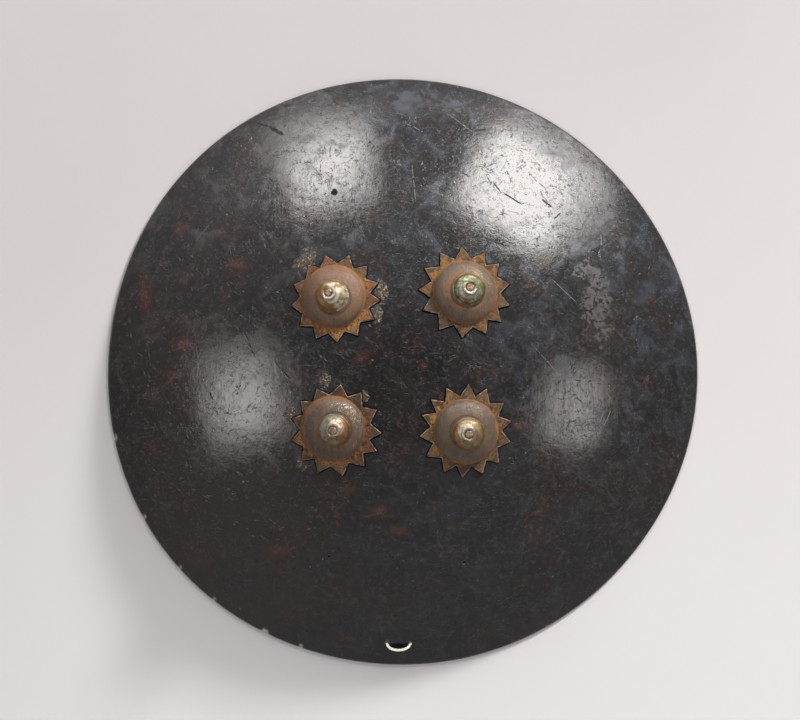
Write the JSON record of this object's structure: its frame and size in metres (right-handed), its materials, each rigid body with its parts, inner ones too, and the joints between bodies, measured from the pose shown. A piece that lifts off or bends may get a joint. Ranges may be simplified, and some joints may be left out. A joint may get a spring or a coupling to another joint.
{
  "type": "round hide shield",
  "caption": "Round domed shield of black lacquered hide with star-edged iron bosses, grip straps and a hanging cord.",
  "frame": {"origin": "middle of the outline, on the surface that the rim rests on", "axes": "+Z out of the shield's face, +Y towards its top edge, +X to the right as it is looked at"},
  "size_m": [0.58, 0.5782, 0.1125],
  "materials": {
    "lacquered_hide": "gloss",
    "washer_iron": "matte",
    "dome_iron": "satin",
    "cap_brass": "polished",
    "bolt_iron": "matte",
    "strap_leather": "satin",
    "white_cord": "matte"
  },
  "bodies": {
    "root": {"hide_disc": "lacquered_hide", "star_washer_upper_left": "washer_iron", "boss_dome_upper_left": "dome_iron", "boss_cap_upper_left": "cap_brass", "boss_bolt_upper_left": "bolt_iron", "boss_rove_upper_left": "bolt_iron", "star_washer_upper_right": "washer_iron", "boss_dome_upper_right": "dome_iron", "boss_cap_upper_right": "cap_brass", "boss_bolt_upper_right": "bolt_iron", "boss_rove_upper_right": "bolt_iron", "star_washer_lower_left": "washer_iron", "boss_dome_lower_left": "dome_iron", "boss_cap_lower_left": "cap_brass", "boss_bolt_lower_left": "bolt_iron", "boss_rove_lower_left": "bolt_iron", "star_washer_lower_right": "washer_iron", "boss_dome_lower_right": "dome_iron", "boss_cap_lower_right": "cap_brass", "boss_bolt_lower_right": "bolt_iron", "boss_rove_lower_right": "bolt_iron", "grip_strap_left": "strap_leather", "grip_strap_right": "strap_leather", "hanging_cord": "white_cord", "hanging_cord_knot": "white_cord"}
  },
  "joints": []
}
